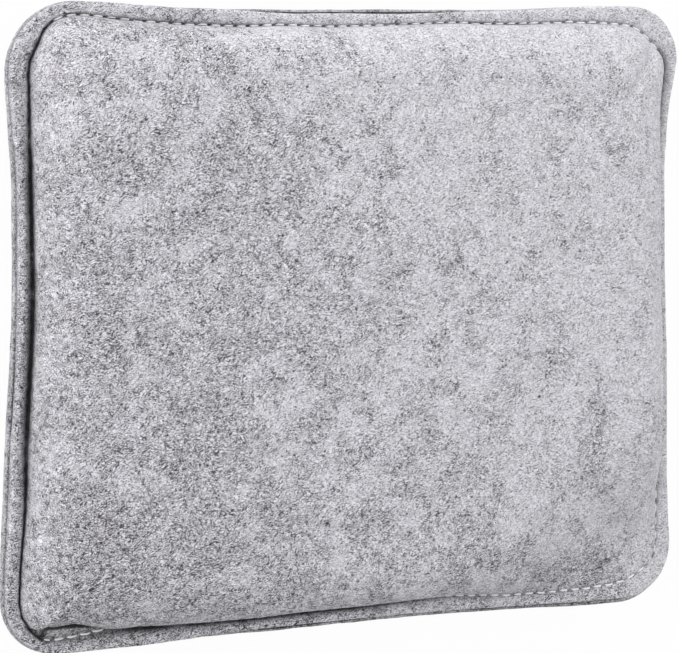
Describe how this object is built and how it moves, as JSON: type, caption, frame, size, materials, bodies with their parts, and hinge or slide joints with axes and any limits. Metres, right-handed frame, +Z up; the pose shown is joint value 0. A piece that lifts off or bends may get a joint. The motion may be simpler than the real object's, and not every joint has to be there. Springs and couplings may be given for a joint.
{
  "type": "needle felting pad",
  "caption": "Flat stuffed pad of heathered grey felt, sewn round its edge, with a swollen face that backs wool while it is worked with a felting needle.",
  "frame": {"origin": "on the surface that the pad lies on, under the middle of the pad", "axes": "+X along the longer side, +Y along the shorter side, +Z up out of the working face"},
  "size_m": [0.2534, 0.203, 0.035],
  "materials": {
    "grey_felt": "heathered light grey needle-punched felt, matt and slightly fuzzy, with dark fibre flecks",
    "pale_thread": "pale grey spun sewing thread",
    "white_batting": "off-white needle-punched batting, matt and lofty"
  },
  "bodies": {
    "root": {"front_felt_panel": "grey_felt", "back_felt_panel": "grey_felt", "needle_thread": "pale_thread", "bobbin_thread": "pale_thread", "batting_sheet_1": "white_batting", "batting_sheet_2": "white_batting", "batting_sheet_3": "white_batting", "batting_sheet_4": "white_batting"}
  },
  "joints": []
}
